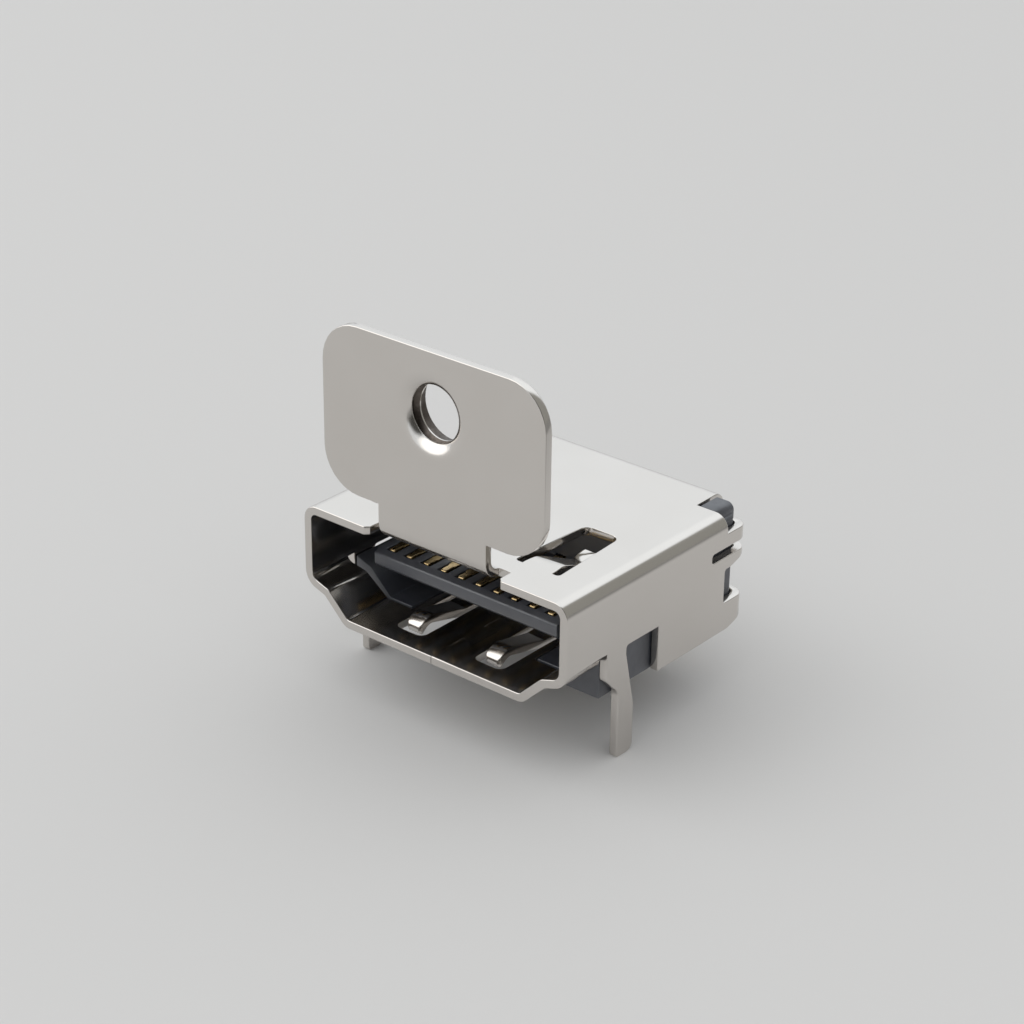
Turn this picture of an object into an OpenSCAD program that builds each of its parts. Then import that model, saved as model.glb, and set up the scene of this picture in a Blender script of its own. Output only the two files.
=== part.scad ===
// Board-mount digital video socket with an upright screw flange.
// The mouth faces -Y and +Z is up. z = 0 is the board's surface, y = 0 the mouth's front edge.

/* [Mouth] */
// Clear width of the mouth
mouth_w = 14; // [13.6:0.1:14.6]
// Clear height of the mouth
mouth_h = 4.55; // [4.4:0.05:5]
// Width of the flat floor between the two slopes
floor_w = 9.8; // [9:0.1:10.2]
// Height of the side step above the floor, at the side wall
step_h = 1.43; // [1.3:0.01:1.7]
// Width of the side step
step_w = 0.95; // [0.8:0.05:1.1]
// Fall of the side step towards the middle
step_fall = 0.31; // [0.1:0.01:0.4]
// Length of the closed ring behind the mouth's front edge, at the side walls
ring_l = 2.3; // [2.1:0.05:2.6]
// Length of the ring at its floor
ring_floor_l = 2.7; // [2.6:0.05:2.75]

/* [Sheet] */
// Thickness of the plated sheet
sheet_t = 0.4; // [0.3:0.05:0.5]
// Inner radius of the folds
bend_r = 0.3; // [0.2:0.05:0.4]
// Height of the mouth's floor above the board
floor_lift = 0.7; // [0.6:0.05:1]
// Depth from the mouth's front edge to the back of the rear flap
shell_l = 13.25; // [12.8:0.05:14.7]

/* [Roof springs] */
// Distance of each roof spring from the centre line
roof_spring_x = 4.2; // [4:0.05:4.6]
// Width of the slot around a roof spring, at the spring's root
roof_slot_w = 2.3; // [2.1:0.05:2.5]
// Width of the slot at its rear end
roof_slot_end_w = 1.8; // [1.6:0.05:2]
// Distance of the slot's front end from the mouth
roof_slot_y = 1.95; // [1.5:0.05:2.2]
// Length of the slot
roof_slot_l = 4.45; // [4.2:0.05:4.8]
// Width of a roof spring at its root
roof_spring_w = 1.6; // [1.4:0.05:1.8]
// Width of a roof spring at its tip
roof_tip_w = 0.85; // [0.6:0.05:1.2]
// Length of a roof spring
roof_spring_l = 3.7; // [3.3:0.05:3.9]
// Depth that a roof spring dips below the roof
roof_dip = 0.85; // [0.6:0.05:1]

/* [Floor springs] */
// Distance of each floor spring from the centre line
floor_spring_x = 2.25; // [2.1:0.05:2.4]
// Width of the slot around a floor spring
floor_slot_w = 1.6; // [1.4:0.05:1.8]
// Distance of the slot's front end from the mouth
floor_slot_y = 1.05; // [0.8:0.05:1.3]
// Length of the slot
floor_slot_l = 4.35; // [4:0.05:4.6]
// Width of a floor spring at its root
floor_spring_w = 1.1; // [0.9:0.05:1.3]
// Width of a floor spring at its tip
floor_tip_w = 0.8; // [0.6:0.05:0.9]
// Gap between a floor spring's tip and the slot's front end
floor_tip_gap = 0.35; // [0.2:0.05:0.5]
// Height that a floor spring rises above the floor
floor_rise = 0.55; // [0.4:0.05:0.8]
// Width of the floor behind the ring
floor_strip_w = 7; // [6.7:0.1:7.4]
// Length of floor behind the spring slots
floor_end_l = 0.9; // [0.6:0.1:1.1]
// Width of the gap in the floor's dovetail seam
seam_w = 0.03; // [0.02:0.01:0.08]
// Reach of the seam's dovetail to the side
dovetail_w = 0.7; // [0.5:0.05:0.9]

/* [Legs] */
// Length of a leg below the board's surface
leg_len = 3.1; // [2.5:0.05:3.5]
// Width of a leg in the board
leg_w = 1.1; // [0.9:0.05:1.3]
// Width of a leg at its root
leg_root_w = 1.35; // [1.2:0.05:1.6]
// Setback of a leg's lower front edge behind its root
leg_set = 0.85; // [0.7:0.05:1]
// Height of a leg's root above the board
leg_root_h = 2.2; // [2:0.05:2.5]
// Height of the shoulder above the board
shoulder_h = 1; // [0.9:0.05:1.4]
// Width of the relief slot between the ring and a leg
relief_w = 0.45; // [0.45:0.05:0.6]
// Height of the relief slot's end above the board
relief_h = 2.3; // [2.1:0.05:2.6]
// Length of the notch behind a leg
notch_l = 2.25; // [2:0.05:2.5]

/* [Rear] */
// Length of the notch in each rear corner of the roof
corner_cut_l = 2.05; // [1.8:0.05:2.3]
// Width of the notch in each rear corner of the roof
corner_cut_w = 1.75; // [1.5:0.05:2.1]
// Depth of the flat side wall's upper edge below the roof's top
tab_drop = 0.85; // [0.8:0.05:1]
// Height of the upper rear tab
tab_h = 0.66; // [0.5:0.02:0.8]
// Height of the slot below the upper tab
tab_slot_h = 0.44; // [0.3:0.02:0.6]
// Length of that slot in the side wall
tab_slot_l = 2; // [1.7:0.05:2.3]
// Height of the middle rear tab
mid_tab_h = 0.64; // [0.5:0.02:0.8]
// Length of the middle and lower tabs before their folds
tab_l = 1; // [0.7:0.05:1.2]
// Height of the lower rear tab
low_tab_h = 1.4; // [1.2:0.05:1.6]
// Reach of the tabs behind the insulator
tab_reach = 1.7; // [1.2:0.05:1.9]
// Height of the rear flap's lower edge above the board
flap_h = 1.5; // [1.3:0.05:2]
// Width of the rear flap
flap_w = 12.4; // [11.8:0.1:13]
// Gap between the rear flap and the tabs that it covers
flap_gap = 0.05; // [0.03:0.01:0.1]

/* [Flange] */
// Width of the flange
flange_w = 12.2; // [10:0.05:14]
// Height of the flange
flange_h = 7.8; // [7:0.05:9]
// Radius of the flange's corners
flange_r = 1.95; // [1:0.05:2.5]
// Height of the flange's lower edge above the roof
flange_lift = 1.35; // [1:0.05:1.6]
// Setback of the flange's front behind the mouth's front edge
flange_set = 0.02; // [0:0.02:0.2]
// Width of the neck between the roof and the flange
neck_w = 6; // [4.5:0.1:6.6]
// Width of the gap between the mouth's two ears
ear_gap = 7.3; // [6.8:0.1:8]
// Length of the ears
ear_l = 0.9; // [0.8:0.05:1.1]
// Height of the screw hole above the flange's lower edge
hole_up = 4.95; // [4:0.05:5.5]
// Bore of the screw hole before its thread is cut
bore_d = 2.55; // [2:0.05:3]
// Width of the rounded entry round the screw hole
entry_w = 0.65; // [0.4:0.05:0.8]
// Depth of the rounded entry
entry_l = 0.3; // [0.2:0.05:0.4]
// Length of the extruded screw hole from the flange's front
collar_l = 1.4; // [1.2:0.05:2]
// Wall of the extruded collar
collar_wall = 0.4; // [0.25:0.05:0.6]

/* [Insulator] */
// Distance of the tongue's front from the mouth
tongue_y = 2.1; // [2:0.05:2.6]
// Height of the tongue's underside above the mouth's floor
tongue_up = 1.65; // [1.5:0.05:1.8]
// Thickness of the tongue
tongue_t = 1; // [0.9:0.05:1.2]
// Width of plastic beside the outermost contacts
tongue_edge_w = 0.7; // [0.5:0.05:1]
// Depth of the cavity from the mouth to the insulator's rear block
block_y = 6.9; // [6.6:0.1:7.5]
// Gap between the ring's floor and the side arms
arm_gap = 0.1; // [0.05:0.01:0.2]
// Height that the side arms stand proud of the mouth's inner surface
arm_lip = 0.03; // [0.01:0.01:0.1]
// Clearance between the insulator and the sheet
fit_gap = 0.05; // [0.03:0.01:0.1]
// Thickness of the tail spacer
spacer_t = 0.75; // [0.5:0.05:1]

/* [Contacts] */
// Number of contacts on top of the tongue
top_contacts = 10; // [8:1:10]
// Distance between neighbouring contacts of a row
contact_pitch = 1; // [0.9:0.01:1.05]
// Thickness of a contact
contact_t = 0.2; // [0.15:0.01:0.25]
// Width of a contact's beam
contact_w = 0.44; // [0.38:0.02:0.48]
// Width of a contact's tip
tip_w = 0.3; // [0.24:0.02:0.36]
// Length of a contact's tip
tip_l = 0.5; // [0.4:0.05:0.8]
// Setback of the contact tips behind the tongue's front
tip_set = 0.4; // [0.35:0.05:0.6]
// Height that a contact stands proud of the tongue
contact_proud = 0.03; // [0.02:0.01:0.1]
// Clearance around a contact in its groove
groove_gap = 0.06; // [0.03:0.01:0.08]
// Length of the tails below the board's surface
tail_len = 2.2; // [1.8:0.05:2.6]
// Distance between the two rows of tails
tail_rows = 1.5; // [1.2:0.05:1.6]
// Distance of the rear row of tails from the insulator's back
tail_back = 0.75; // [0.6:0.05:0.9]

/* [Hidden] */
nickel = [0.72, 0.70, 0.68];
plastic = [0.23, 0.24, 0.28];
gold = [0.83, 0.68, 0.38];

// Segments in each rounded corner of an outline
arc_steps = 8;
// Segments round the screw hole
hole_steps = 64;
// Cutters reach this far past the faces that they cut
past = 0.5;
// Points closer than this are the same point
same = 0.0001;

half_w = mouth_w / 2;
side_x = half_w + sheet_t;
side_mid = half_w + sheet_t / 2;
floor_z = floor_lift;
floor_mid = floor_z - sheet_t / 2;
roof_z = floor_z + mouth_h;
roof_mid = roof_z + sheet_t / 2;
top_z = roof_z + sheet_t;
fold_r = bend_r + sheet_t / 2;

// Side wall: its flat part ends at wall_z, its tabs fold at tab_y and lie against wrap_y
wall_z = top_z - tab_drop;
wrap_y = shell_l - sheet_t - flap_gap;
tab_y = wrap_y - bend_r - sheet_t;
gap_y = tab_y - tab_l;
cut_y = shell_l - corner_cut_l;
cut_x = side_x - corner_cut_w;
upper_z = wall_z - tab_h;
mid_z = upper_z - tab_slot_h;
mid_low_z = mid_z - mid_tab_h;
tab_trim = 0.4;
tab_end_r = 0.15;
slot_r = 0.42;
roof_tip_up = 0.25;

leg_y = ring_l + relief_w;
leg_back = leg_y + leg_root_w;
foot_y = leg_y + leg_set;
foot_back = foot_y + leg_w;
notch_back = leg_back + notch_l;
shoulder_low = shoulder_h - leg_set;
foot_r = 0.35;

// Radii inside the mouth's ring: at the side wall, at the step's inner edge and at the floor
step_r = 0.45;
slope_r = 0.6;
floor_r = 0.3;
ear_chamfer = 0.2;

flange_z = top_z + flange_lift;
hole_z = flange_z + hole_up;
bore_r = bore_d / 2;
entry_r = (entry_w * entry_w + entry_l * entry_l) / (2 * entry_l);

body_x = half_w - fit_gap;
body_top = roof_z - fit_gap;
body_back = wrap_y - sheet_t - fit_gap;
tongue_z = floor_z + tongue_up;
tongue_top = tongue_z + tongue_t;
tongue_w = (top_contacts - 1) * contact_pitch + 2 * tongue_edge_w;
tongue_nose_top = 0.17;
tongue_nose_low = 0.29;
tongue_nose_l = 0.35;
under_contacts = top_contacts - 1;
tip_y = tongue_y + tip_set;
beam_y = tip_y + tip_l + contact_w - tip_w;
tail_y = body_back - tail_back;
tail_r = 0.4;
top_contact_z = tongue_top + contact_proud - contact_t / 2;
under_contact_z = tongue_z - contact_proud + contact_t / 2;
cavity_side = 0.8;
cavity_w = (top_contacts - 1) * contact_pitch + 2 * cavity_side;
cavity_y = tail_y - tail_rows - cavity_side;
cavity_top = tongue_top + cavity_side;
// The tongue and the side arms run on into the rear block as far as root_y
root_y = block_y + cavity_side;
arm_in = floor_strip_w / 2 + 2 * fit_gap;
arm_y = ring_floor_l + arm_gap;
arm_top = floor_z + step_h + arm_lip;
post_x = cut_x + fit_gap;
post_w = 1.05;
post_drop = 0.03;
post_r = 0.35;
post_back = 0.75;

contact_count = top_contacts + under_contacts;
function contact_name(i) = str("contact_", i < 10 ? "0" : "", i);

// Outlines and strips
function unit(v) = v / norm(v);
function left_of(v) = [-v[1], v[0]];
function reversed(list) = [for (i = [len(list) - 1:-1:0]) list[i]];

// Arc of radius r that rounds the corner at b between a and c
function corner(a, b, c, r) = r <= 0 ? [b] :
    let (
        u = unit(a - b),
        v = unit(c - b),
        half = acos(u * v) / 2,
        middle = b + unit(u + v) * r / sin(half),
        from = b + u * r / tan(half) - middle,
        start = atan2(from[1], from[0]),
        sweep = (cross(u, v) < 0 ? 2 : -2) * (90 - half)
    )
    [for (i = [0:arc_steps]) let (w = start + sweep * i / arc_steps) middle + r * [cos(w), sin(w)]];

// Closed list of points without those that fall on the one before
function distinct(points) = let (n = len(points))
    [for (i = [0:n - 1]) if (norm(points[i] - points[(i + n - 1) % n]) > same) points[i]];

// Closed outline with a radius at each corner
function rounded(points, radii) = let (n = len(points)) distinct([
    for (i = [0:n - 1])
        each corner(points[(i + n - 1) % n], points[i], points[(i + 1) % n], radii[i])
]);

// Closed anticlockwise outline moved outwards by d
function grown(points, d) = let (n = len(points))
    [for (i = [0:n - 1]) let (
        a = -left_of(unit(points[i] - points[(i + n - 1) % n])),
        b = -left_of(unit(points[(i + 1) % n] - points[i])),
        m = unit(a + b)
    ) points[i] + m * d / (m * a)];

// Open path moved to its left by d
function beside(path, d) = let (n = len(path))
    [for (i = [0:n - 1]) let (
        a = left_of(unit(path[max(i, 1)] - path[max(i, 1) - 1])),
        b = left_of(unit(path[min(i, n - 2) + 1] - path[min(i, n - 2)])),
        m = unit(a + b)
    ) path[i] + m * d / (m * a)];

// Section of a strip of width t whose middle follows the path, with sharp corners
function strip(path, t) = concat(beside(path, t / 2), reversed(beside(path, -t / 2)));

// One side of a folded sheet, at d to the left of its middle, whose folds have the radius r
function fold_side(path, r, d) = let (n = len(path), side = beside(path, d)) [
    side[0],
    for (i = [1:n - 2]) let (turn = cross(path[i] - path[i - 1], path[i + 1] - path[i]))
        each corner(side[i - 1], side[i], side[i + 1], turn > 0 ? r - d : r + d),
    side[n - 1]
];

// Section of a sheet of thickness t, folded to the radius r at each inner point of its path
function folded(path, r, t) = concat(fold_side(path, r, t / 2), reversed(fold_side(path, r, -t / 2)));

// Extrusions between two planes: outlines are (y, z), (x, z) and (x, y)
module slab_x(x0, x1) { translate([x0, 0, 0]) rotate([90, 0, 90]) linear_extrude(x1 - x0) children(); }
module slab_y(y0, y1) { translate([0, y1, 0]) rotate([90, 0, 0]) linear_extrude(y1 - y0) children(); }
module slab_z(z0, z1) { translate([0, 0, z0]) linear_extrude(z1 - z0) children(); }
module both_sides() { children(); mirror([1, 0, 0]) children(); }
module box(low, high) { translate(low) cube(high - low); }

// D-shaped section of the mouth
module mouth_section() {
    right = [
        [floor_w / 2, floor_z],
        [half_w - step_w, floor_z + step_h - step_fall],
        [half_w, floor_z + step_h],
        [half_w, roof_z]
    ];
    left = [for (p = reversed(right)) [-p[0], p[1]]];
    inner_r = [floor_r, slope_r, step_r, bend_r];
    outer_r = [floor_r + sheet_t, slope_r - sheet_t, step_r + sheet_t, bend_r + sheet_t];
    inner = concat(right, left);
    difference() {
        polygon(rounded(grown(inner, sheet_t), concat(outer_r, reversed(outer_r))));
        polygon(rounded(inner, concat(inner_r, reversed(inner_r))));
    }
}

// Closed ring behind the mouth's front edge, joined to the walls above the relief slots
module mouth_ring() {
    relief = [
        [0, ring_floor_l], [floor_w / 2, ring_floor_l], [half_w, ring_l],
        [side_x + past, ring_l], [side_x + past, leg_y + past], [0, leg_y + past]
    ];
    difference() {
        slab_y(0, leg_y) mouth_section();
        both_sides() slab_z(-past, relief_h) polygon(relief);
    }
}

// Roof with its two long folds, down to the flat side walls
module roof() {
    path = [[side_mid, wall_z], [side_mid, roof_mid], [-side_mid, roof_mid], [-side_mid, wall_z]];
    slab_y(ring_l, cut_y) polygon(folded(path, fold_r, sheet_t));
}

// Flat side wall: leg, notch and the edges of the three rear tabs
module side_wall() {
    slot_y = tab_y - tab_slot_l;
    outline = [
        [leg_y, wall_z], [tab_y, wall_z], [tab_y, upper_z],
        [slot_y, upper_z], [slot_y, mid_z], [tab_y, mid_z],
        [tab_y, mid_low_z], [gap_y, mid_low_z], [gap_y, low_tab_h], [tab_y, low_tab_h],
        [tab_y, 0], [notch_back, 0], [notch_back, leg_root_h], [leg_back, leg_root_h],
        [leg_back, leg_root_h - sheet_t], [foot_back, -leg_set], [foot_back, -leg_len], [foot_y, -leg_len],
        [foot_y, shoulder_low], [leg_y, shoulder_h]
    ];
    radii = [
        0, 0, 0, tab_end_r, tab_end_r, 0, 0, tab_end_r, tab_end_r, 0,
        0, 0, 0, tab_end_r, foot_r, leg_w, foot_r, tab_end_r, leg_w / 2, foot_r
    ];
    slab_x(half_w, side_x) polygon(rounded(outline, radii));
}

// Rear tab folded round the insulator's corner, between two heights
module rear_tab(low, high) {
    y = wrap_y - sheet_t / 2;
    path = [[side_mid, tab_y], [side_mid, y], [side_mid - tab_reach, y]];
    slab_z(low, high) polygon(folded(path, fold_r, sheet_t));
}

// One side of the shell: the wall and its tabs, with the two lower tab corners cut off
module shell_side() {
    behind = wrap_y + flap_gap / 2;
    difference() {
        union() {
            side_wall();
            rear_tab(upper_z, wall_z);
            rear_tab(mid_low_z, mid_z);
            rear_tab(0, low_tab_h);
        }
        for (z = [mid_low_z, 0]) {
            cut = [[gap_y, z - past], [gap_y + tab_trim, z], [behind, z + tab_trim], [behind, z - past]];
            slab_x(0, side_x + past) polygon(cut);
        }
    }
}

// Rear flap folded down from the roof between the corner notches, wider below the posts
module rear_flap() {
    path = [[cut_y, roof_mid], [shell_l - sheet_t / 2, roof_mid], [shell_l - sheet_t / 2, flap_h]];
    slab_x(-cut_x, cut_x) polygon(folded(path, fold_r, sheet_t));
    w = flap_w / 2;
    high = wall_z - tab_trim;
    wide = [[-w, flap_h], [w, flap_h], [w, high], [-w, high]];
    slab_y(shell_l - sheet_t, shell_l) polygon(rounded(wide, [tab_trim, tab_trim, tab_end_r, tab_end_r]));
}

// Strip of floor behind the ring, which carries the roots of the floor springs
module floor_strip() {
    w = floor_strip_w / 2;
    box([-w, ring_l, floor_z - sheet_t], [w, floor_slot_y + floor_slot_l + floor_end_l, floor_z]);
}

// Dovetail seam along the middle of the floor, where the two edges of the sheet meet
module floor_seam() {
    root = floor_slot_y + floor_slot_l / 4;
    flare = dovetail_w / 3;
    end = root + 2 * dovetail_w;
    path = [
        [0, -past], [0, root], [dovetail_w, root - flare],
        [dovetail_w, end + flare], [0, end], [0, floor_slot_y + floor_slot_l + floor_end_l + past]
    ];
    slab_z(floor_z - sheet_t - past, floor_z + past) polygon(strip(path, seam_w));
}

// Gap between the mouth's two ears, in front of the neck
module ear_window() {
    e = ear_gap / 2;
    c = ear_chamfer;
    outline = [
        [-e - c, 0], [-e - c - past, -past], [e + c + past, -past], [e + c, 0],
        [e, c], [e, ear_l], [-e, ear_l], [-e, c]
    ];
    slab_z(roof_z - past, top_z + past) polygon(outline);
}

// Outline of the slot around a spring, from y0 over a length, with its corners rounded
module spring_slot(x, front_w, rear_w, y0, l, front_r, rear_r) {
    front = front_w / 2;
    rear = rear_w / 2;
    outline = [[x - front, y0], [x + front, y0], [x + rear, y0 + l], [x - rear, y0 + l]];
    polygon(rounded(outline, [front_r, front_r, rear_r, rear_r]));
}

// Roof spring, rooted in front: flat, dipping into the mouth, with its tip turned up
module roof_spring() {
    y = roof_slot_y;
    tip = y + roof_spring_l;
    low = tip - roof_tip_w;
    path = [
        [y - sheet_t, roof_mid], [y + roof_tip_w, roof_mid],
        [low, roof_mid - roof_dip], [tip, roof_mid - roof_dip + roof_tip_up]
    ];
    root_x = roof_spring_w / 2;
    tip_x = roof_tip_w / 2;
    plan = [
        [-root_x, y - sheet_t], [root_x, y - sheet_t], [root_x, y + bend_r], [tip_x, low],
        [tip_x, tip], [-tip_x, tip], [-tip_x, low], [-root_x, y + bend_r]
    ];
    r = roof_spring_w;
    tip_r = roof_tip_w * 2 / 5;
    translate([roof_spring_x, 0, 0]) intersection() {
        slab_x(-roof_spring_w, roof_spring_w) polygon(folded(path, roof_tip_w, sheet_t));
        slab_z(floor_z, top_z + past) polygon(rounded(plan, [0, 0, r, r, tip_r, tip_r, r, r]));
    }
}

// Floor spring, rooted behind: rising towards the mouth, with its tip turned down
module floor_spring() {
    root = floor_slot_y + floor_slot_l;
    tip = floor_slot_y + floor_tip_gap;
    high = tip + floor_rise;
    path = [
        [root + sheet_t, floor_mid], [root - floor_spring_w, floor_mid],
        [high, floor_mid + floor_rise], [tip, floor_mid + floor_rise / 5]
    ];
    plan = [
        [-floor_tip_w / 2, tip], [floor_tip_w / 2, tip],
        [floor_spring_w / 2, root + sheet_t], [-floor_spring_w / 2, root + sheet_t]
    ];
    translate([floor_spring_x, 0, 0]) intersection() {
        slab_x(-floor_spring_w, floor_spring_w) polygon(folded(path, bend_r + sheet_t, sheet_t));
        slab_z(floor_z - sheet_t - past, roof_z) polygon(rounded(plan, [bend_r / 2, bend_r / 2, 0, 0]));
    }
}

// Upright flange on its neck, with the extruded screw hole
module flange() {
    y = flange_set + sheet_t / 2;
    path = [[ear_l + sheet_t, roof_mid], [y, roof_mid], [y, flange_z + flange_r]];
    w = flange_w / 2;
    plate = [[-w, flange_z], [w, flange_z], [w, flange_z + flange_h], [-w, flange_z + flange_h]];
    root_r = collar_wall / 2;
    collar = [
        [bore_r / 2, 0], [bore_r + collar_wall + root_r, 0], [bore_r + collar_wall, root_r],
        [bore_r + collar_wall, collar_l - sheet_t], [bore_r / 2, collar_l - sheet_t]
    ];
    difference() {
        union() {
            slab_x(-neck_w / 2, neck_w / 2) polygon(folded(path, ear_l - y, sheet_t));
            slab_y(flange_set, flange_set + sheet_t) polygon(rounded(plate, [for (p = plate) flange_r]));
            translate([0, flange_set + sheet_t, hole_z]) rotate([-90, 0, 0])
                rotate_extrude($fn = hole_steps) polygon(collar);
        }
        translate([0, flange_set, hole_z]) rotate([-90, 0, 0]) {
            translate([0, 0, -past]) cylinder(r = bore_r, h = collar_l + 2 * past, $fn = hole_steps);
            rotate_extrude($fn = hole_steps) difference() {
                translate([0, -past]) square([bore_r + entry_w, entry_l + past]);
                translate([bore_r + entry_w, entry_r]) circle(r = entry_r, $fn = hole_steps);
            }
        }
    }
}

// The whole folded sheet
module shell() {
    color(nickel) {
        difference() {
            union() {
                mouth_ring();
                roof();
                both_sides() shell_side();
                rear_flap();
                floor_strip();
            }
            ear_window();
            floor_seam();
            both_sides() {
                slab_z(roof_z - past, top_z + past) spring_slot(
                    roof_spring_x, roof_slot_w, roof_slot_end_w, roof_slot_y, roof_slot_l, tab_end_r, slot_r
                );
                slab_z(floor_z - sheet_t - past, floor_z + bend_r) spring_slot(
                    floor_spring_x, floor_slot_w, floor_slot_w, floor_slot_y, floor_slot_l, foot_r, tab_end_r
                );
            }
        }
        both_sides() roof_spring();
        both_sides() floor_spring();
        flange();
    }
}

// Place of contact i: the top row first, then the row under the tongue, half a pitch to the side
function contact_x(i) = i <= top_contacts ?
    (i - 1 - (top_contacts - 1) / 2) * contact_pitch :
    (i - 1 - top_contacts - (under_contacts - 1) / 2) * contact_pitch;
function contact_z(i) = i <= top_contacts ? top_contact_z : under_contact_z;
function contact_tail_y(i) = i <= top_contacts ? tail_y : tail_y - tail_rows;

// Tongue with its chamfered nose
module tongue() {
    outline = [
        [tongue_y, tongue_z + tongue_nose_low], [tongue_y, tongue_top - tongue_nose_top],
        [tongue_y + tongue_nose_l, tongue_top], [root_y, tongue_top],
        [root_y, tongue_z], [tongue_y + tongue_nose_l, tongue_z]
    ];
    slab_x(-tongue_w / 2, tongue_w / 2) polygon(outline);
}

// Side arm that carries the mouth's D shape on behind the ring
module side_arm() {
    outline = [
        [arm_in, 0], [body_x, 0], [body_x, arm_top],
        [half_w - step_w, floor_z + step_h - step_fall + arm_lip],
        [floor_w / 2, floor_z + arm_lip], [arm_in, floor_z + arm_lip]
    ];
    slab_y(arm_y, root_y) polygon(outline);
}

// Corner post that fills a rear notch of the roof
module corner_post() {
    low = wall_z + fit_gap;
    high = top_z - post_drop;
    out = post_x + post_w;
    outline = [[post_x, low], [out, low], [out, high], [post_x, high]];
    slab_y(cut_y + fit_gap, shell_l - post_back) polygon(rounded(outline, [0, 0, post_r, 0]));
}

// Moulded insulator: tongue, arms, rear block with its open tail cavity, and posts
module housing() {
    block = [[-body_x, 0], [body_x, 0], [body_x, body_top], [-body_x, body_top]];
    plan = [[-body_x, block_y], [body_x, block_y], [body_x, body_back], [-body_x, body_back]];
    radii = [0, 0, bend_r, bend_r];
    color(plastic) difference() {
        union() {
            intersection() {
                slab_y(block_y, body_back) polygon(rounded(block, radii));
                slab_z(0, body_top) polygon(rounded(plan, radii));
            }
            tongue();
            both_sides() side_arm();
            both_sides() corner_post();
        }
        box([-cavity_w / 2, cavity_y, -past], [cavity_w / 2, body_back + past, cavity_top]);
        for (i = [1:contact_count]) {
            half = contact_w / 2 + groove_gap;
            rise = contact_t / 2 + groove_gap;
            box(
                [contact_x(i) - half, tip_y - groove_gap, contact_z(i) - rise],
                [contact_x(i) + half, cavity_y + past, contact_z(i) + rise]
            );
        }
    }
}

// Comb plate that keeps the tails in line
module tail_spacer() {
    w = cavity_w / 2 - fit_gap;
    color(plastic) difference() {
        box([-w, cavity_y + fit_gap, fit_gap], [w, body_back, fit_gap + spacer_t]);
        for (i = [1:contact_count]) {
            half = [contact_w / 2 + groove_gap, contact_t / 2 + groove_gap];
            middle = [contact_x(i), contact_tail_y(i)];
            slab_z(-past, fit_gap + spacer_t + past) translate(middle - half) square(2 * half);
        }
    }
}

// One stamped contact: narrow tip, beam in the groove and tail down through the board
module contact(i) {
    z = contact_z(i);
    y = contact_tail_y(i);
    tip = tip_w / 2;
    beam = contact_w / 2;
    nose = [
        [-tip, tip_y], [tip, tip_y], [tip, tip_y + tip_l],
        [beam, beam_y], [-beam, beam_y], [-tip, tip_y + tip_l]
    ];
    path = [[beam_y, z], [y, z], [y, -tail_len]];
    color(gold) translate([contact_x(i), 0, 0]) {
        slab_x(-beam, beam) polygon(folded(path, tail_r, contact_t));
        slab_z(z - contact_t / 2, z + contact_t / 2) polygon(nose);
    }
}

shell();
housing();
tail_spacer();
for (i = [1:contact_count]) contact(i);
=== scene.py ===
"""Looks of a board-mount digital video socket: plated shell, screw flange, dark insulator, gold contacts."""

import math

import bmesh
import bpy
from mathutils import Matrix, Vector


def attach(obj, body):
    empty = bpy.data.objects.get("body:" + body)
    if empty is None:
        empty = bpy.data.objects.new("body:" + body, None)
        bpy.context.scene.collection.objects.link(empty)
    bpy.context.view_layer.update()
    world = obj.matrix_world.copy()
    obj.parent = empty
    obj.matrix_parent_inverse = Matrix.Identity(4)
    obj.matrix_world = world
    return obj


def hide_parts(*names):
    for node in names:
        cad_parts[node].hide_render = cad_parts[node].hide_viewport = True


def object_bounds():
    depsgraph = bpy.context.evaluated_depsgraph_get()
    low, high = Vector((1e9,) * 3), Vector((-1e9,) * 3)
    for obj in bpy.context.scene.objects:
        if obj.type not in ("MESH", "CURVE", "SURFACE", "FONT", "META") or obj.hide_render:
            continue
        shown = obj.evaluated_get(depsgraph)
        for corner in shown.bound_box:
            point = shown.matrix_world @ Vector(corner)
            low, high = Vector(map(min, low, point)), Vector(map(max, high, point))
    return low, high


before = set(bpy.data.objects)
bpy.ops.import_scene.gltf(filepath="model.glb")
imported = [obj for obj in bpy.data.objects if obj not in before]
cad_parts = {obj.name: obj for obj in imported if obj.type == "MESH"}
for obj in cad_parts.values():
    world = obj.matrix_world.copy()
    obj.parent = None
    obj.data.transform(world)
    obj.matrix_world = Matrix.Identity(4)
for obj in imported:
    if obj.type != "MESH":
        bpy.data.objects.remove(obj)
cad_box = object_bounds()


# Shell: one sheet of plated steel, 0.4 mm thick, stamped and folded into the mouth's ring, roof, walls, legs,
# springs and upright flange. Tumbling after stamping leaves every cut edge a little soft. The flange's hole is
# drawn through from the front and tapped, so its bore is opened here to the thread's root.
weld_gap = 1e-7
hair_width = 1e-6
edge_soft = 0.00004
bore_axis = Vector((0, 0, 0.01195))
bore_radius = 0.001275
bore_slack = 0.00002
bore_front = 0.00032
bore_land = 0.00018
lip_soft = 0.00004
thread_root = 0.0015
seam_half = 0.0008
floor_top = 0.0008
leg_front = 0.00275
relief_top = 0.0023
wall_inner = 0.0069
roof_low, roof_high = 0.005, 0.006
slot_front, slot_bend = 0.0019, 0.00212
slot_out = 0.0059
slot_set = 0.00016


def merged_copy(node):
    """The CAD node's solid as a bmesh with shared corners and undivided flat faces."""
    flat_within = math.radians(0.5)
    bm = bmesh.new()
    bm.from_mesh(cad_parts[node].data)
    bmesh.ops.remove_doubles(bm, verts=bm.verts, dist=weld_gap)
    bmesh.ops.dissolve_limit(
        bm, angle_limit=flat_within, verts=bm.verts, edges=bm.edges, use_dissolve_boundaries=False
    )
    return bm


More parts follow.
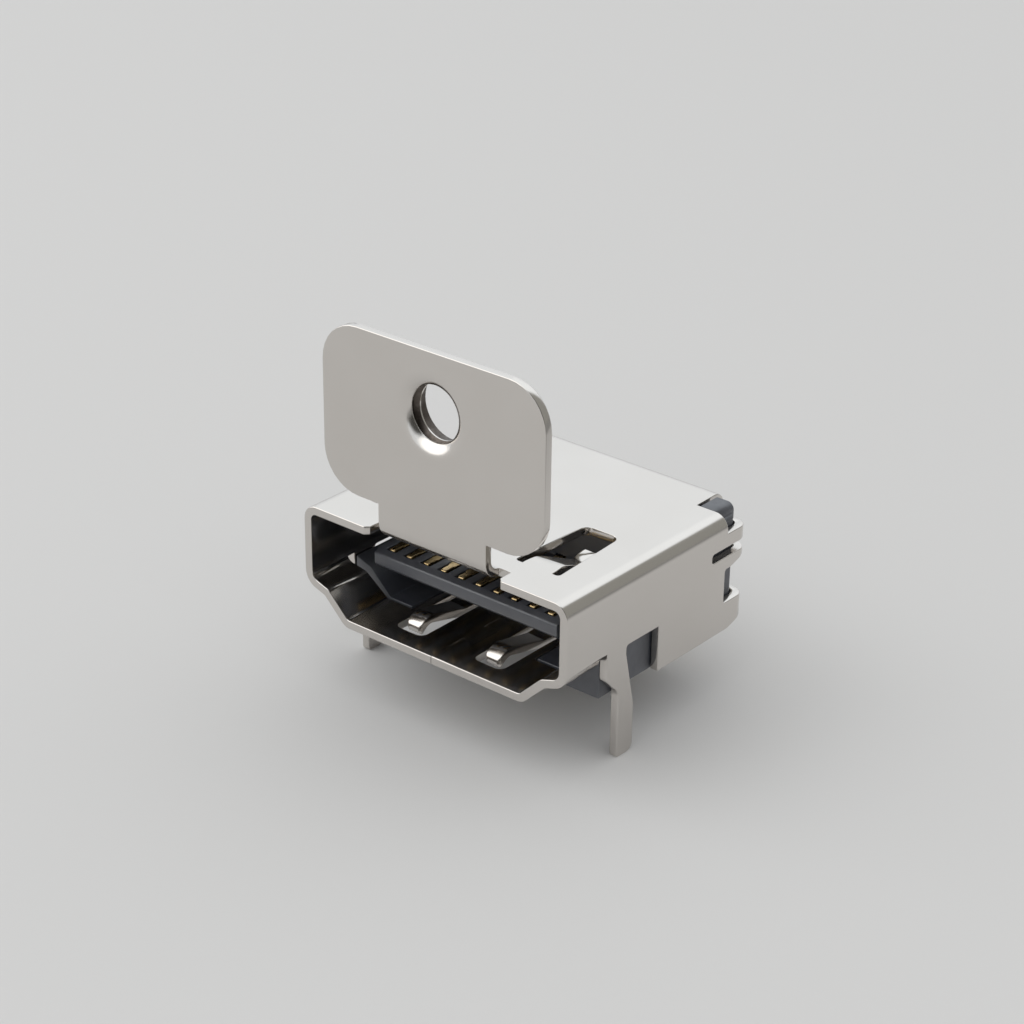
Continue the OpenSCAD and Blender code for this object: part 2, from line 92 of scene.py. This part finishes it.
def round_over(bm, edges, width, segments):
    """Rounds the given edges by a width."""
    bmesh.ops.bevel(
        bm, geom=edges, offset=width, offset_type="OFFSET", affect="EDGES", segments=segments,
        profile=0.5, material=-1,
    )


def soften(bm, width, crisp=None):
    """Rounds every sharp edge a little, as tumbling or moulding does, apart from the crisp ones."""
    sharp_from = math.radians(40)
    sharp = [e for e in bm.edges if e.is_manifold and e.calc_face_angle() > sharp_from]
    if crisp:
        sharp = [e for e in sharp if not crisp(e)]
    bmesh.ops.bevel(
        bm, geom=sharp, offset=width, offset_type="OFFSET", affect="EDGES", segments=2,
        profile=0.5, material=-1, clamp_overlap=False, loop_slide=True,
    )
    bmesh.ops.remove_doubles(bm, verts=bm.verts, dist=weld_gap)


def make_piece(bm, name, materials, stands_for=None):
    """Turns the bmesh into a piece of the object that rides on its body."""
    crease = math.radians(35)
    mesh = bpy.data.meshes.new(name)
    bm.to_mesh(mesh)
    bm.free()
    mesh.polygons.foreach_set("use_smooth", [True] * len(mesh.polygons))
    mesh.set_sharp_from_angle(angle=crease)
    for material in materials:
        mesh.materials.append(material)
    piece = bpy.data.objects.new(name, mesh)
    bpy.context.scene.collection.objects.link(piece)
    shading = piece.modifiers.new("flat faces stay flat", "WEIGHTED_NORMAL")
    shading.keep_sharp = True
    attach(piece, "root")
    if stands_for:
        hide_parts(stands_for)


def finish_nodes(name, roughness, metallic=0.0):
    """A new material with its shader, and the Object coordinates that its patterns lie on."""
    material = bpy.data.materials.new(name)
    material.use_nodes = True
    tree = material.node_tree
    shader = tree.nodes["Principled BSDF"]
    shader.inputs["Metallic"].default_value = metallic
    shader.inputs["Roughness"].default_value = roughness
    place = tree.nodes.new("ShaderNodeTexCoord")
    return material, tree, shader, place.outputs["Object"]


def grain(tree, place, scale, detail, stretch=(1, 1, 1)):
    """Noise on Object coordinates, drawn out along an axis where stretch is small."""
    mapping = tree.nodes.new("ShaderNodeMapping")
    mapping.inputs["Scale"].default_value = stretch
    tree.links.new(place, mapping.inputs["Vector"])
    noise = tree.nodes.new("ShaderNodeTexNoise")
    noise.inputs["Scale"].default_value = scale
    noise.inputs["Detail"].default_value = detail
    noise.inputs["Roughness"].default_value = 0.55
    tree.links.new(mapping.outputs["Vector"], noise.inputs["Vector"])
    return noise.outputs["Fac"]


def spread(tree, value, low, high):
    """The noise's middle range stretched to run from low to high."""
    ramp = tree.nodes.new("ShaderNodeMapRange")
    ramp.inputs["From Min"].default_value = 0.3
    ramp.inputs["From Max"].default_value = 0.7
    ramp.inputs["To Min"].default_value = low
    ramp.inputs["To Max"].default_value = high
    tree.links.new(value, ramp.inputs["Value"])
    return ramp.outputs["Result"]


def two_tones(tree, value, first, second):
    """A colour between two tones."""
    mix = tree.nodes.new("ShaderNodeMix")
    mix.data_type = "RGBA"
    mix.inputs["A"].default_value = (*first, 1)
    mix.inputs["B"].default_value = (*second, 1)
    tree.links.new(value, mix.inputs["Factor"])
    return mix.outputs["Result"]


def relief(tree, value, depth, strength, shader):
    """Bump of a real depth, in metres."""
    bump = tree.nodes.new("ShaderNodeBump")
    bump.inputs["Distance"].default_value = depth
    bump.inputs["Strength"].default_value = strength
    tree.links.new(value, bump.inputs["Height"])
    tree.links.new(bump.outputs["Normal"], shader.inputs["Normal"])


nickel, tree, shader, place = finish_nodes("satin_nickel", roughness=0.17, metallic=1.0)
plate_dull, plate_bright = (0.632, 0.600, 0.566), (0.655, 0.624, 0.592)
cloud = spread(tree, grain(tree, place, scale=260, detail=4), 0, 1)
tree.links.new(two_tones(tree, cloud, plate_dull, plate_bright), shader.inputs["Base Color"])
satin = spread(tree, grain(tree, place, scale=900, detail=5, stretch=(1, 0.25, 1)), 0.15, 0.19)
tree.links.new(satin, shader.inputs["Roughness"])
relief(tree, grain(tree, place, scale=420, detail=2), depth=0.000012, strength=0.3, shader=shader)

# Painted shade: the bore's metal is coloured far darker than bare nickel, so that the hole and the thread's
# valleys look shaded. The noise only mottles that dark tone at random, and the higher roughness is the tap's
# dull cut.
shaded_bore_nickel, tree, shader, place = finish_nodes("bore_nickel_painted_shade", roughness=0.36, metallic=1.0)
bore_shade_dark, bore_shade_light = (0.085, 0.072, 0.062), (0.15, 0.13, 0.115)
bore_mottle = spread(tree, grain(tree, place, scale=3000, detail=4), 0, 1)
tree.links.new(two_tones(tree, bore_mottle, bore_shade_dark, bore_shade_light), shader.inputs["Base Color"])
torn = spread(tree, grain(tree, place, scale=9000, detail=4), 0.28, 0.46)
tree.links.new(torn, shader.inputs["Roughness"])
relief(tree, grain(tree, place, scale=12000, detail=3), depth=0.000004, strength=0.4, shader=shader)


def stays_crisp(edge):
    """The floor's pressed seam, and the faint step where a side wall leaves the ring's round corner."""
    ends = [v.co for v in edge.verts]
    on_seam = all(abs(p.x) < seam_half and 0 < p.z < floor_top for p in ends)
    by_leg = all(
        abs(p.y - leg_front) < hair_width and abs(p.x) > wall_inner and p.z > relief_top - hair_width
        for p in ends
    )
    return on_seam or by_leg


def off_axis(point):
    """The way from the axis of the flange's hole straight out to a point."""
    return Vector((point.x, 0, point.z)) - bore_axis


def on_bore(point):
    """Whether a point lies on the wall of the flange's hole."""
    return abs(off_axis(point).length - bore_radius) < bore_slack


bm = merged_copy("shell")
bore = [f for f in bm.faces if all(on_bore(v.co) for v in f.verts)]
bore_edges = list(dict.fromkeys(e for f in bore for e in f.edges))
bore_points = list(dict.fromkeys(v for f in bore for v in f.verts))
bmesh.ops.bisect_plane(
    bm, geom=bore + bore_edges + bore_points, dist=weld_gap,
    plane_co=(0, bore_front + bore_land, 0), plane_no=(0, 1, 0),
)
for v in bm.verts:
    if on_bore(v.co) and v.co.y > bore_front + bore_land / 2:
        v.co += off_axis(v.co).normalized() * (thread_root - bore_radius)
# The two legs of the roof's left slot end a little further back than those of the right one.
slot_ends = [
    v for v in bm.verts
    if -slot_out < v.co.x < 0 and slot_front < v.co.y < slot_bend and roof_low < v.co.z < roof_high
]
bmesh.ops.translate(bm, verts=slot_ends, vec=(0, slot_set, 0))
lip = [
    e for e in bm.edges
    if all(on_bore(v.co) and abs(v.co.y - bore_front) < bore_slack / 2 for v in e.verts)
]
round_over(bm, lip, lip_soft, segments=3)
soften(bm, edge_soft, stays_crisp)
# Painted shade: the bore's wall behind the entry land takes the darkened bore material.
for face in bm.faces:
    middle = face.calc_center_median()
    past_land = middle.y > bore_front + bore_land - edge_soft
    if past_land and off_axis(middle).length < thread_root + edge_soft / 4:
        face.material_index = 1
make_piece(bm, "plated_shell", [nickel, shaded_bore_nickel], "shell")


# Thread: the ridge that the tap leaves in the drawn collar, half a millimetre from turn to turn.
# It is the shell's own metal, rougher where the tap cut it. Its flanks carry painted shade, the same darkened
# colour as the bore's wall, and its crest keeps the plain nickel. It starts behind the rounded entry, and both
# its ends run out into the wall.
thread_pitch = 0.0005
thread_start = 0.00048
thread_turns = 1.4
thread_turned = math.radians(-70)
thread_end = thread_start + thread_pitch * thread_turns
thread_crest = bore_radius
turn_steps = 64
half_root, half_crest = 0.00021, 0.000035
root_bite = 0.00003
run_out = 0.0001
bm = bmesh.new()
ridge = [
    (thread_root + root_bite, -half_root), (thread_crest, -half_crest),
    (thread_crest, half_crest), (thread_root + root_bite, half_root),
]
section = bm.faces.new([bm.verts.new((r, thread_start + y, bore_axis.z)) for r, y in ridge])
bmesh.ops.spin(
    bm, geom=[section], cent=bore_axis, axis=(0, 1, 0), dvec=(0, thread_pitch / turn_steps, 0),
    angle=2 * math.pi * thread_turns, steps=round(turn_steps * thread_turns), use_duplicate=False,
)
for v in bm.verts:
    if off_axis(v.co).length < (thread_root + thread_crest) / 2:
        height = min(1, max(0, min(v.co.y - thread_start, thread_end - v.co.y) / run_out))
        v.co += off_axis(v.co).normalized() * (thread_root + root_bite / 3 - thread_crest) * (1 - height)
bmesh.ops.rotate(bm, verts=bm.verts, cent=bore_axis, matrix=Matrix.Rotation(thread_turned, 3, "Y"))
bmesh.ops.recalc_face_normals(bm, faces=bm.faces)
# The crest faces keep the plain nickel; the flanks keep the painted shade of the bore.
for face in bm.faces:
    if off_axis(face.calc_center_median()).length < thread_crest + half_crest / 2:
        face.material_index = 1
make_piece(bm, "screw_thread", [shaded_bore_nickel, nickel])


# Insulator: glass-filled plastic, moulded in one piece with the tongue, the side arms and the rear block.
# It slides into the shell from behind, and the rear tabs and flap hold it there. Its two corner posts stand
# a little clear of the roof's notches.
post_inner, post_front, post_foot = 0.0057, 0.011, 0.0048
post_play = 0.0001
tongue_front, tongue_low, tongue_wide = 0.0022, 0.003, 0.003
nose_round = 0.00008
mould_soft = 0.00004

plastic, tree, shader, place = finish_nodes("moulded_plastic", roughness=0.42)
shader.inputs["IOR"].default_value = 1.6
shader.inputs["Specular IOR Level"].default_value = 0.95
slate_dark, slate_light = (0.034, 0.038, 0.049), (0.045, 0.050, 0.064)
flow = spread(tree, grain(tree, place, scale=700, detail=4), 0, 1)
tree.links.new(two_tones(tree, flow, slate_dark, slate_light), shader.inputs["Base Color"])
gloss = spread(tree, grain(tree, place, scale=2600, detail=4), 0.36, 0.5)
tree.links.new(gloss, shader.inputs["Roughness"])
relief(tree, grain(tree, place, scale=9000, detail=3), depth=0.000006, strength=0.4, shader=shader)

bm = merged_copy("housing")
for v in bm.verts:
    if abs(abs(v.co.x) - post_inner) < hair_width and v.co.y > post_front and v.co.z > post_foot:
        v.co.x += math.copysign(post_play, v.co.x)
nose = [
    e for e in bm.edges
    if e.calc_length() > tongue_wide and all(v.co.y < tongue_front and v.co.z > tongue_low for v in e.verts)
]
round_over(bm, nose, nose_round, segments=3)
soften(bm, mould_soft)
make_piece(bm, "insulator", [plastic], "housing")


# Tail comb: a small plate of the same plastic under the rear of the insulator, with a hole for each tail.
# It keeps the tails in line with the holes of the board.
comb_soft = 0.00003
bm = merged_copy("tail_spacer")
soften(bm, comb_soft)
make_piece(bm, "tail_comb", [plastic], "tail_spacer")


# Contacts: strips stamped from copper alloy and plated with gold, ten on the tongue and nine under it.
# Each lies in its groove, passes through the rear block and turns down through the board.
tip_round = 0.00009
strip_soft = 0.00003

gold, tree, shader, place = finish_nodes("gold_plate", roughness=0.26, metallic=1.0)
gold_deep, gold_pale = (0.50, 0.36, 0.175), (0.62, 0.475, 0.26)
warm = spread(tree, grain(tree, place, scale=1500, detail=3), 0, 1)
tree.links.new(two_tones(tree, warm, gold_deep, gold_pale), shader.inputs["Base Color"])
wiped = spread(tree, grain(tree, place, scale=5000, detail=3, stretch=(1, 0.15, 1)), 0.2, 0.36)
tree.links.new(wiped, shader.inputs["Roughness"])
relief(tree, grain(tree, place, scale=9000, detail=2), depth=0.000003, strength=0.3, shader=shader)

for node in sorted(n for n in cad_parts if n.startswith("contact_")):
    bm = merged_copy(node)
    front = min(v.co.y for v in bm.verts)
    tip = [
        e for e in bm.edges
        if all(v.co.y - front < hair_width for v in e.verts)
        and abs(e.verts[0].co.z - e.verts[1].co.z) < hair_width
    ]
    round_over(bm, tip, tip_round, segments=4)
    soften(bm, strip_soft)
    make_piece(bm, node + "_strip", [gold], node)


# Floor: a plain pale sheet under the legs, not part of the object. Its far right side carries painted shade
# that only glossy rays see, so the metal reflects a dim right side of the room while the floor itself looks
# evenly pale.
floor_level = cad_box[0].z
floor_half = 1.5
dim_from, dim_to = 0.022, 0.05
floor_pale, floor_painted_shade = (0.64, 0.64, 0.635), (0.3, 0.3, 0.295)
bm = bmesh.new()
bmesh.ops.create_grid(
    bm, x_segments=1, y_segments=1, size=floor_half, matrix=Matrix.Translation((0, 0, floor_level))
)
floor_mesh = bpy.data.meshes.new("floor")
bm.to_mesh(floor_mesh)
bm.free()
floor = bpy.data.objects.new("floor", floor_mesh)
bpy.context.scene.collection.objects.link(floor)
paper, tree, shader, place = finish_nodes("pale_floor", roughness=0.8)
shader.inputs["Specular IOR Level"].default_value = 0.2
split = tree.nodes.new("ShaderNodeSeparateXYZ")
tree.links.new(place, split.inputs["Vector"])
# Painted shade: towards the far right the floor's colour turns darker, for glossy rays only.
painted_shade_side = tree.nodes.new("ShaderNodeMapRange")
painted_shade_side.inputs["From Min"].default_value = dim_from
painted_shade_side.inputs["From Max"].default_value = dim_to
tree.links.new(split.outputs["X"], painted_shade_side.inputs["Value"])
rays = tree.nodes.new("ShaderNodeLightPath")
mirrored = tree.nodes.new("ShaderNodeMath")
mirrored.operation = "MULTIPLY"
tree.links.new(painted_shade_side.outputs["Result"], mirrored.inputs[0])
tree.links.new(rays.outputs["Is Glossy Ray"], mirrored.inputs[1])
tree.links.new(two_tones(tree, mirrored.outputs["Value"], floor_pale, floor_painted_shade), shader.inputs["Base Color"])
floor_mesh.materials.append(paper)


# Light: an even pale room, and a large soft lamp up on the front left. In the metal the room shows as it is
# around a bench: pale walls on the left, a window on the front left, dim walls on the right and by the camera.
camera_azimuth, camera_elevation = math.radians(39.622), math.radians(26.053)
back = Vector((
    math.sin(camera_azimuth) * math.cos(camera_elevation),
    -math.cos(camera_azimuth) * math.cos(camera_elevation),
    math.sin(camera_elevation),
))
window_side = Vector((-0.6, -0.53, 0.52))
fill_low, fill_high = (0.4, 0.4, 0.4), (0.93, 0.93, 0.93)
wall_low, wall_high = (0.89, 0.93, 0.965), (1.25, 1.31, 1.355)
right_wall = (0.35, 0.35, 0.328)
camera_wall = (0.07, 0.07, 0.066)
window_glow = (1.9, 1.9, 1.88)
lamp_place, lamp_aim = Vector((-0.21, -0.16, 0.25)), Vector((0, 0.006, 0.004))

world = bpy.data.worlds.new("room")
bpy.context.scene.world = world
world.use_nodes = True
tree = world.node_tree
background = tree.nodes["Background"]
direction = tree.nodes.new("ShaderNodeTexCoord").outputs["Generated"]


def rise(value, start, end):
    """A smooth change from 0 to 1 between two values."""
    change = tree.nodes.new("ShaderNodeMapRange")
    change.interpolation_type = "SMOOTHSTEP"
    change.inputs["From Min"].default_value = start
    change.inputs["From Max"].default_value = end
    tree.links.new(value, change.inputs["Value"])
    return change.outputs["Result"]


def near(aim, outer, inner):
    """0 beyond the outer angle from the aim, 1 within the inner one, in degrees."""
    towards = tree.nodes.new("ShaderNodeVectorMath")
    towards.operation = "DOT_PRODUCT"
    towards.inputs[1].default_value = aim.normalized()
    tree.links.new(direction, towards.inputs[0])
    return rise(towards.outputs["Value"], math.cos(math.radians(outer)), math.cos(math.radians(inner)))


def blend(amount, first, second):
    """A colour between two, each of them a tone or another blend."""
    mix = tree.nodes.new("ShaderNodeMix")
    mix.data_type = "RGBA"
    for name, colour in (("A", first), ("B", second)):
        if isinstance(colour, tuple):
            mix.inputs[name].default_value = (*colour, 1)
        else:
            tree.links.new(colour, mix.inputs[name])
    tree.links.new(amount, mix.inputs["Factor"])
    return mix.outputs["Result"]


split = tree.nodes.new("ShaderNodeSeparateXYZ")
tree.links.new(direction, split.inputs["Vector"])
fill = blend(rise(split.outputs["Z"], start=0.0, end=0.5), fill_low, fill_high)
walls = blend(rise(split.outputs["Z"], start=0.1, end=0.7), wall_low, wall_high)
walls = blend(rise(split.outputs["X"], start=0.14, end=0.32), walls, right_wall)
walls = blend(near(back, outer=44, inner=20), walls, camera_wall)
walls = blend(near(window_side, outer=40, inner=26), walls, window_glow)
rays = tree.nodes.new("ShaderNodeLightPath")
tree.links.new(blend(rays.outputs["Is Glossy Ray"], fill, walls), background.inputs["Color"])

lamp = bpy.data.lights.new("soft_lamp", "AREA")
lamp.shape = "RECTANGLE"
lamp.size, lamp.size_y = 0.30, 0.24
lamp.energy = 0.22
holder = bpy.data.objects.new("soft_lamp", lamp)
bpy.context.scene.collection.objects.link(holder)
holder.location = lamp_place
holder.rotation_euler = (lamp_aim - lamp_place).to_track_quat("-Z", "Y").to_euler()
holder.visible_glossy = False


# Camera: at the height and turn of the photograph, a long lens from about 110 mm away.
# It stands off the middle of the mouth's floor, a little to the right and up, and leans by under a degree.
lean = math.radians(0.711)
mouth_floor = Vector((0, 0, 0.0007))
stand_off, aside, above = 0.111516, 0.003479, 0.00619
level = Vector((math.cos(camera_azimuth), math.sin(camera_azimuth), 0))
upward = back.cross(level)
right = level * math.cos(lean) + upward * math.sin(lean)
up = upward * math.cos(lean) - level * math.sin(lean)
camera = bpy.data.objects.new("camera", bpy.data.cameras.new("camera"))
bpy.context.scene.collection.objects.link(camera)
camera.data.sensor_width = 36
camera.data.lens = 91.37
camera.data.clip_start, camera.data.clip_end = 0.001, 10
stand = Matrix((right, up, back)).transposed().to_4x4()
stand.translation = mouth_floor + back * stand_off + right * aside + up * above
camera.matrix_world = stand
bpy.context.scene.camera = camera

bpy.context.scene.view_settings.view_transform = "Standard"
